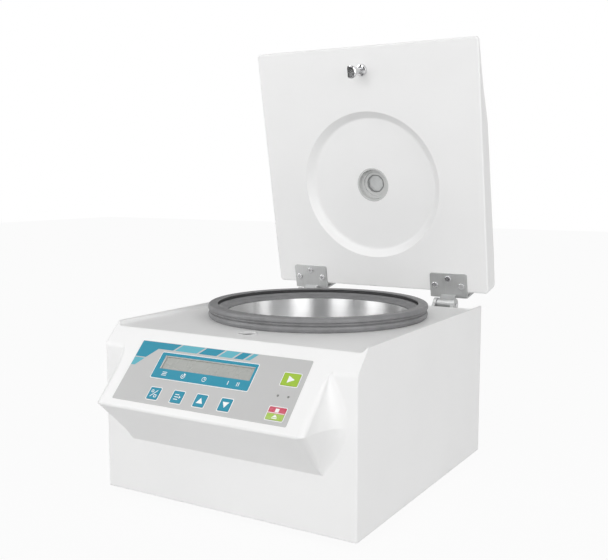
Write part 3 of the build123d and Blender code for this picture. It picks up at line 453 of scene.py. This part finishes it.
def on_slope(x, v, out):
    """A point of the slope in the row frame, from panel millimetres."""
    down, out = v / MM_IN_M, out / MM_IN_M
    y = BEND_Y - down * math.sin(LEAN) - out * math.cos(LEAN)
    z = BEND_Z - down * math.cos(LEAN) + out * math.sin(LEAN)
    return Vector((x / MM_IN_M, y, z))


def on_lid(x, v, out):
    """A point of the open lid: v from its hinged edge to its front edge, and out of its inner face."""
    back, drop = PIN_BACK_MM + v, PIN_DROP_MM - out
    y = PIN_Y + (drop * math.sin(OPEN_ANGLE) - back * math.cos(OPEN_ANGLE)) / MM_IN_M
    z = PIN_Z + (drop * math.cos(OPEN_ANGLE) + back * math.sin(OPEN_ANGLE)) / MM_IN_M
    return Vector((x / MM_IN_M, y, z))


def on_back(x, z, out):
    """A point of the rear panel, with z from the casing's bottom edge."""
    return Vector((x / MM_IN_M, BACK_Y + out / MM_IN_M, (z + FOOT_MM) / MM_IN_M))


def on_rotor(x, y, out):
    """A point of the rotor's flat top, from its axis."""
    return Vector((x / MM_IN_M, AXIS_Y + y / MM_IN_M, ROTOR_TOP_Z + out / MM_IN_M))


# Flat shapes in millimetres, as loops of points

def box_loop(box, radius=0.0, grow=0.0, steps=4):
    """Corners of a box, grown and rounded."""
    x0, x1, v0, v1 = box[0] - grow, box[1] + grow, box[2] - grow, box[3] + grow
    radius = max(radius + grow, 0.0)
    if radius == 0:
        return [(x0, v0), (x1, v0), (x1, v1), (x0, v1)]
    corners = (
        (x1 - radius, v0 + radius, -90),
        (x1 - radius, v1 - radius, 0),
        (x0 + radius, v1 - radius, 90),
        (x0 + radius, v0 + radius, 180),
    )
    points = []
    for cx, cv, start in corners:
        for step in range(steps + 1):
            turn = math.radians(start + 90.0 * step / steps)
            points.append((cx + radius * math.cos(turn), cv + radius * math.sin(turn)))
    return points


def circle_loop(x, v, radius, steps=28, start=0.0, sweep=360.0):
    """Points round a circle or along an arc."""
    points = []
    for i in range(steps if sweep == 360.0 else steps + 1):
        turn = math.radians(start + sweep * i / steps)
        points.append((x + radius * math.cos(turn), v + radius * math.sin(turn)))
    return points


def ring(x, v, outer, inner, steps=28, start=0.0):
    """A circle with a round hole."""
    return circle_loop(x, v, outer, steps, start), circle_loop(x, v, inner, steps, start)


def stroke(x0, v0, x1, v1, width):
    """A straight line with a width."""
    along = Vector((x1 - x0, v1 - v0)).normalized()
    side = Vector((-along.y, along.x)) * (width / 2)
    return [
        (x0 + side.x, v0 + side.y),
        (x1 + side.x, v1 + side.y),
        (x1 - side.x, v1 - side.y),
        (x0 - side.x, v0 - side.y),
    ]


def arc_stroke(x, v, radius, width, start, sweep, steps=18):
    """A line with a width along an arc."""
    outer = circle_loop(x, v, radius + width / 2, steps, start, sweep)
    inner = circle_loop(x, v, radius - width / 2, steps, start, sweep)
    return outer + inner[::-1]


# Pieces

def add_object(name, data):
    """A new object in the scene."""
    thing = bpy.data.objects.new(name, data)
    bpy.context.scene.collection.objects.link(thing)
    return thing


def turn_faces_out(mesh):
    """Turns every face outwards."""
    work = bmesh.new()
    work.from_mesh(mesh)
    bmesh.ops.recalc_face_normals(work, faces=work.faces)
    work.to_mesh(mesh)
    work.free()


def add_piece(name, points, faces, material, body):
    """A mesh piece that rides on a body."""
    mesh = bpy.data.meshes.new(name)
    mesh.from_pydata([tuple(point) for point in points], [], faces)
    mesh.validate()
    mesh.materials.append(MATERIALS[material])
    turn_faces_out(mesh)
    piece = add_object(name, mesh)
    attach(piece, body)


def print_piece(name, shapes, low, high, material, body, place=on_slope):
    """Thin flat shapes on a surface, each a loop or a loop with a hole of as many points."""
    points, faces = [], []
    for shape in shapes:
        outer, inner = shape if isinstance(shape, tuple) else (shape, None)
        count = len(outer)
        lower = len(points)
        upper = lower + count
        for loop in [outer] if inner is None else [outer, inner]:
            for out in (low, high):
                points.extend(place(x, v, out) for x, v in loop)
        for i in range(count):
            j = (i + 1) % count
            faces.append((lower + i, lower + j, upper + j, upper + i))
        if inner is None:
            faces.append(tuple(upper + i for i in range(count)))
            faces.append(tuple(lower + i for i in reversed(range(count))))
        else:
            lower_in, upper_in = lower + 2 * count, lower + 3 * count
            for i in range(count):
                j = (i + 1) % count
                faces.append((lower_in + j, lower_in + i, upper_in + i, upper_in + j))
                faces.append((upper + i, upper + j, upper_in + j, upper_in + i))
                faces.append((lower + j, lower + i, lower_in + i, lower_in + j))
    add_piece(name, points, faces, material, body)


def panel_print(name, shapes, low, thickness, material, body="base"):
    """A print on the panel's film or on a key."""
    print_piece(name, shapes, low, low + thickness, material, body)


def make_stripes():
    """Slanted stripes in two tones over the panel's top left corner."""
    left, top = OVERLAY_MM[0] + PRINT_EDGE_MM, OVERLAY_MM[2] + PRINT_EDGE_MM
    slant, foot = STRIPE_SLANT_MM, STRIPE_FOOT_V_MM
    dark = [[
        (left, top),
        (left + 62, top),
        (left + 62 - slant, foot),
        (left + 30, foot),
        (left + 17, 12.0),
        (left, 12.0),
    ]]
    pale = [[(left, 13.4), (left + 16, 13.4), (left + 6, 25.0), (left, 25.0)]]
    start = left + 65
    for index, width in enumerate(STRIPE_WIDTHS_MM):
        target = pale if index % 2 == 0 else dark
        end = start + width
        target.append([(start, top), (end, top), (end - slant, foot), (start - slant, foot)])
        start += width + STRIPE_GAP_MM
    panel_print("panel_stripes_dark", dark, FILM_TOP_MM, PRINT_MM, "print_teal")
    panel_print("panel_stripes_pale", pale, FILM_TOP_MM, PRINT_MM, "print_pale_teal")


def make_frames():
    """The teal surround of the display, and white lines round it and round every key."""
    window = (box_loop(DISPLAY_FRAME_MM, FRAME_CORNER_MM), box_loop(DISPLAY_MM, 0.01))
    panel_print("display_surround", [window], FILM_TOP_MM, 2 * PRINT_MM, "print_teal")
    outside = box_loop(DISPLAY_FRAME_MM, FRAME_CORNER_MM, 0.9)
    lines = [(outside, box_loop(DISPLAY_FRAME_MM, FRAME_CORNER_MM, 0.05))]
    for box in KEYS_MM.values():
        lines.append((box_loop(box, KEY_CORNER_MM, 1.3), box_loop(box, KEY_CORNER_MM, 0.32)))
    panel_print("panel_white_lines", lines, FILM_TOP_MM, 2 * PRINT_MM, "print_white")


def make_display_symbols():
    """Small white symbols under the display: a list, a turning rotor, a clock, and two ticks."""
    v = SYMBOLS_V_MM
    shapes = [stroke(-72.5, v + row, -65.5, v + row, 0.8) for row in (-2.2, 0.0, 2.2)]
    shapes.append(arc_stroke(-40.0, v, 2.8, 0.8, -60, 300))
    shapes.append([(-39.6, v - 4.6), (-36.4, v - 2.6), (-39.8, v - 0.9)])
    shapes.append(circle_loop(-40.0, v, 0.9, 12))
    shapes.append(ring(-8.0, v, 3.2, 2.5))
    shapes.append(stroke(-8.0, v + 0.3, -8.0, v - 1.9, 0.7))
    shapes.append(stroke(-8.2, v, -6.4, v, 0.7))
    for x in (27.0, 40.0, 42.4):
        shapes.append(stroke(x, v - 2.6, x, v + 2.6, 0.9))
    panel_print("display_symbols", shapes, FILM_TOP_MM + 2 * PRINT_MM, PRINT_MM, "print_white")


def key_middle(key):
    """The middle of a key in panel millimetres."""
    x0, x1, v0, v1 = KEYS_MM[key]
    return (x0 + x1) / 2, (v0 + v1) / 2


def key_symbol(key, shapes):
    """A white symbol on a key, which moves with it."""
    panel_print(key.replace("key", "symbol"), shapes, KEY_TOP_MM, PRINT_MM, "print_white", key)


def make_key_symbols():
    """A symbol for each key: two settings, a list, up, down, start, and stop over open."""
    x, v = key_middle("key_program")
    square = box_loop((x + 1.2, x + 5.2, v + 1.2, v + 5.2), 0.01)
    hole = box_loop((x + 2.0, x + 4.4, v + 2.0, v + 4.4), 0.01)
    slash = stroke(x - 4.2, v + 4.6, x + 4.2, v - 4.6, 0.9)
    key_symbol("key_program", [slash, ring(x - 3.2, v - 3.0, 2.0, 1.2, 20), (square, hole)])

    x, v = key_middle("key_select")
    shapes = [stroke(x - 4.4, v + row, x + 1.6, v + row, 1.0) for row in (-3.2, 0.0, 3.2)]
    shapes.append([(x + 5.0, v), (x + 2.6, v - 2.0), (x + 2.6, v + 2.0)])
    key_symbol("key_select", shapes)

    x, v = key_middle("key_up")
    key_symbol("key_up", [[(x, v - 4.0), (x + 4.6, v + 3.6), (x - 4.6, v + 3.6)]])

    x, v = key_middle("key_down")
    key_symbol("key_down", [[(x, v + 4.0), (x - 4.6, v - 3.6), (x + 4.6, v - 3.6)]])

    x, v = key_middle("key_start")
    key_symbol("key_start", [[(x + 5.2, v), (x - 3.6, v - 4.8), (x - 3.6, v + 4.8)]])

    x, v = key_middle("key_stop_open")
    x0, x1, _, _ = KEYS_MM["key_stop_open"]
    stop = box_loop((x - 2.4, x + 2.4, v - 6.4, v - 1.6))
    arrow = [(x, v + 1.4), (x + 3.4, v + 4.6), (x - 3.4, v + 4.6)]
    bar = box_loop((x - 3.4, x + 3.4, v + 5.4, v + 6.5))
    split = box_loop((x0, x1, STOP_SPLIT_V_MM - 0.4, STOP_SPLIT_V_MM + 0.4))
    key_symbol("key_stop_open", [stop, arrow, bar, split])


# Strokes of each number, as (across, up) in shares of its width and height
DIGITS = {
    1: [((0.2, 0.75), (0.5, 1.0)), ((0.5, 1.0), (0.5, 0.0))],
    2: [((0, 1), (1, 1)), ((1, 1), (1, 0.5)), ((1, 0.5), (0, 0.5)), ((0, 0.5), (0, 0)), ((0, 0), (1, 0))],
    3: [((0, 1), (1, 1)), ((1, 1), (1, 0)), ((0.2, 0.5), (1, 0.5)), ((1, 0), (0, 0))],
    4: [((0, 1), (0, 0.45)), ((0, 0.45), (1, 0.45)), ((0.75, 1), (0.75, 0))],
}


def make_rotor_numbers():
    """Plain numbers from 1 to 4 between the tube holes, read from outside."""
    shapes = []
    for number, strokes in DIGITS.items():
        turn = math.radians(90 * number - 45)
        across = Vector((-math.sin(turn), math.cos(turn)))
        outward = Vector((math.cos(turn), math.sin(turn)))
        for ends in strokes:
            a, b = [
                outward * (DIGIT_FOOT_R_MM - DIGIT_HEIGHT_MM * high) + across * (DIGIT_WIDTH_MM * (wide - 0.5))
                for wide, high in ends
            ]
            shapes.append(stroke(a.x, a.y, b.x, b.y, DIGIT_LINE_MM))
    print_piece("rotor_numbers", shapes, 0.0, PRINT_MM, "print_dark", "rotor", on_rotor)


def make_sight_outline():
    """Eight-sided rim round the sight window's disc."""
    rim = ring(0, SIGHT_V_MM, RIM_OUTER_R_MM, RIM_INNER_R_MM, 8, 22.5)
    top = GLASS_FACE_MM + RIM_HEIGHT_MM
    print_piece("sight_outline", [rim], GLASS_FACE_MM, top, "outline_grey", "lid", on_lid)


def make_rating_plate():
    """Bare plate on the back, with plain bars where a maker's details would be."""
    plate = box_loop(PLATE_MM, 2.0)
    print_piece("rating_plate", [plate], 0.0, PLATE_T_MM, "plate_silver", "base", on_back)
    bars = [
        box_loop((106.0, 106.0 + width, z, z + BAR_MM))
        for width, z in ((30, 120), (44, 114), (38, 108), (44, 102))
    ]
    bars.append(box_loop((140.0, 154.0, 96.0, 99.0)))
    top = PLATE_T_MM + PRINT_MM
    print_piece("rating_bars", bars, PLATE_T_MM, top, "print_dark", "base", on_back)


# Light, floor and camera

def seen_directly(tree):
    """One for the camera and for mirror and glass rays, and zero for light that falls on the part."""
    rays = add_node(tree, "ShaderNodeLightPath").outputs
    mirrored = calculate(tree, "MAXIMUM", rays["Is Camera Ray"], rays["Is Glossy Ray"])
    return calculate(tree, "MAXIMUM", mirrored, rays["Is Transmission Ray"])


def light_world():
    """Studio light, stronger near the horizon, and plain white wherever the background itself is seen."""
    world = bpy.data.worlds.new("studio")
    bpy.context.scene.world = world
    world.use_nodes = True
    tree = world.node_tree
    direction = add_node(tree, "ShaderNodeTexCoord").outputs["Generated"]
    height = add_node(tree, "ShaderNodeSeparateXYZ", {"Vector": direction}).outputs["Z"]
    strength = spread(tree, height, HORIZON_LIGHT, ZENITH_LIGHT, 0.0, 1.0)
    light = add_node(tree, "ShaderNodeBackground", {"Color": FULL_WHITE, "Strength": strength}).outputs[0]
    white = add_node(tree, "ShaderNodeBackground", {"Color": FULL_WHITE, "Strength": 1.0}).outputs[0]
    mix = add_node(tree, "ShaderNodeMixShader", {0: seen_directly(tree), 1: light, 2: white})
    tree.links.new(mix.outputs[0], tree.nodes["World Output"].inputs["Surface"])


def make_light(name, place, target, size, power):
    """A square soft light that points at a place."""
    data = bpy.data.lights.new(name, "AREA")
    data.shape = "RECTANGLE"
    data.size, data.size_y = size
    data.energy = power
    lamp = add_object(name, data)
    lamp.location = place
    lamp.rotation_euler = (Vector(target) - Vector(place)).to_track_quat("-Z", "Y").to_euler()


def add_sheet(name, corners, material):
    """A flat sheet for the studio."""
    mesh = bpy.data.meshes.new(name)
    mesh.from_pydata(corners, [], [(0, 1, 2, 3)])
    mesh.materials.append(material)
    return add_object(name, mesh)


def make_floor():
    """A white floor that keeps the part's soft shadow."""
    material, tree, shader = new_material("floor_white")
    shader.inputs["Roughness"].default_value = 0.9
    cloud = noise(tree, object_place(tree), 2.0)
    tone = mixed(tree, cloud, shade(FLOOR_TONE, 0.98), shade(FLOOR_TONE, 1.02))
    tree.links.new(tone, shader.inputs["Base Color"])
    white = add_node(tree, "ShaderNodeEmission", {"Color": FULL_WHITE, "Strength": 1.0}).outputs[0]
    share = calculate(tree, "MULTIPLY", seen_directly(tree), FLOOR_WHITE)
    mix = add_node(tree, "ShaderNodeMixShader", {0: share, 1: shader.outputs[0], 2: white})
    tree.links.new(mix.outputs[0], tree.nodes["Material Output"].inputs["Surface"])
    corners = [(FLOOR_REACH * x, FLOOR_REACH * y, 0) for x, y in ((-1, -1), (1, -1), (1, 1), (-1, 1))]
    floor = add_sheet("floor", corners, material)


def make_card(low, high, strength):
    """An upright card that only mirror-like surfaces see, between two directions from the chamber's axis."""
    material, tree, _ = new_material("card_light")
    glow = add_node(tree, "ShaderNodeEmission", {"Color": FULL_WHITE, "Strength": strength})
    tree.links.new(glow.outputs["Emission"], tree.nodes["Material Output"].inputs["Surface"])
    (x0, y0), (x1, y1) = [
        (CARD_REACH * math.cos(turn), AXIS_Y + CARD_REACH * math.sin(turn))
        for turn in (math.radians(low), math.radians(high))
    ]
    corners = [(x0, y0, CARD_LOW), (x1, y1, CARD_LOW), (x1, y1, CARD_HIGH), (x0, y0, CARD_HIGH)]
    card = add_sheet("card", corners, material)
    card.visible_camera = False
    card.visible_diffuse = False
    card.visible_transmission = False
    card.visible_shadow = False


def make_camera():
    """The photograph's camera."""
    data = bpy.data.cameras.new("photo_camera")
    data.sensor_fit = "HORIZONTAL"
    data.sensor_width = SENSOR_MM
    data.lens = CAMERA_LENS_MM
    camera = add_object("photo_camera", data)
    camera.location = CAMERA_PLACE
    camera.rotation_euler = (math.radians(90 - CAMERA_PITCH), 0, math.radians(CAMERA_AZIMUTH))
    bpy.context.scene.camera = camera


make_stripes()
make_frames()
make_display_symbols()
make_key_symbols()
make_rotor_numbers()
make_sight_outline()
make_rating_plate()

light_world()
for values in LIGHTS:
    make_light(*values)
make_floor()
for values in CARDS:
    make_card(*values)
make_camera()
bpy.context.scene.view_settings.view_transform = "Standard"
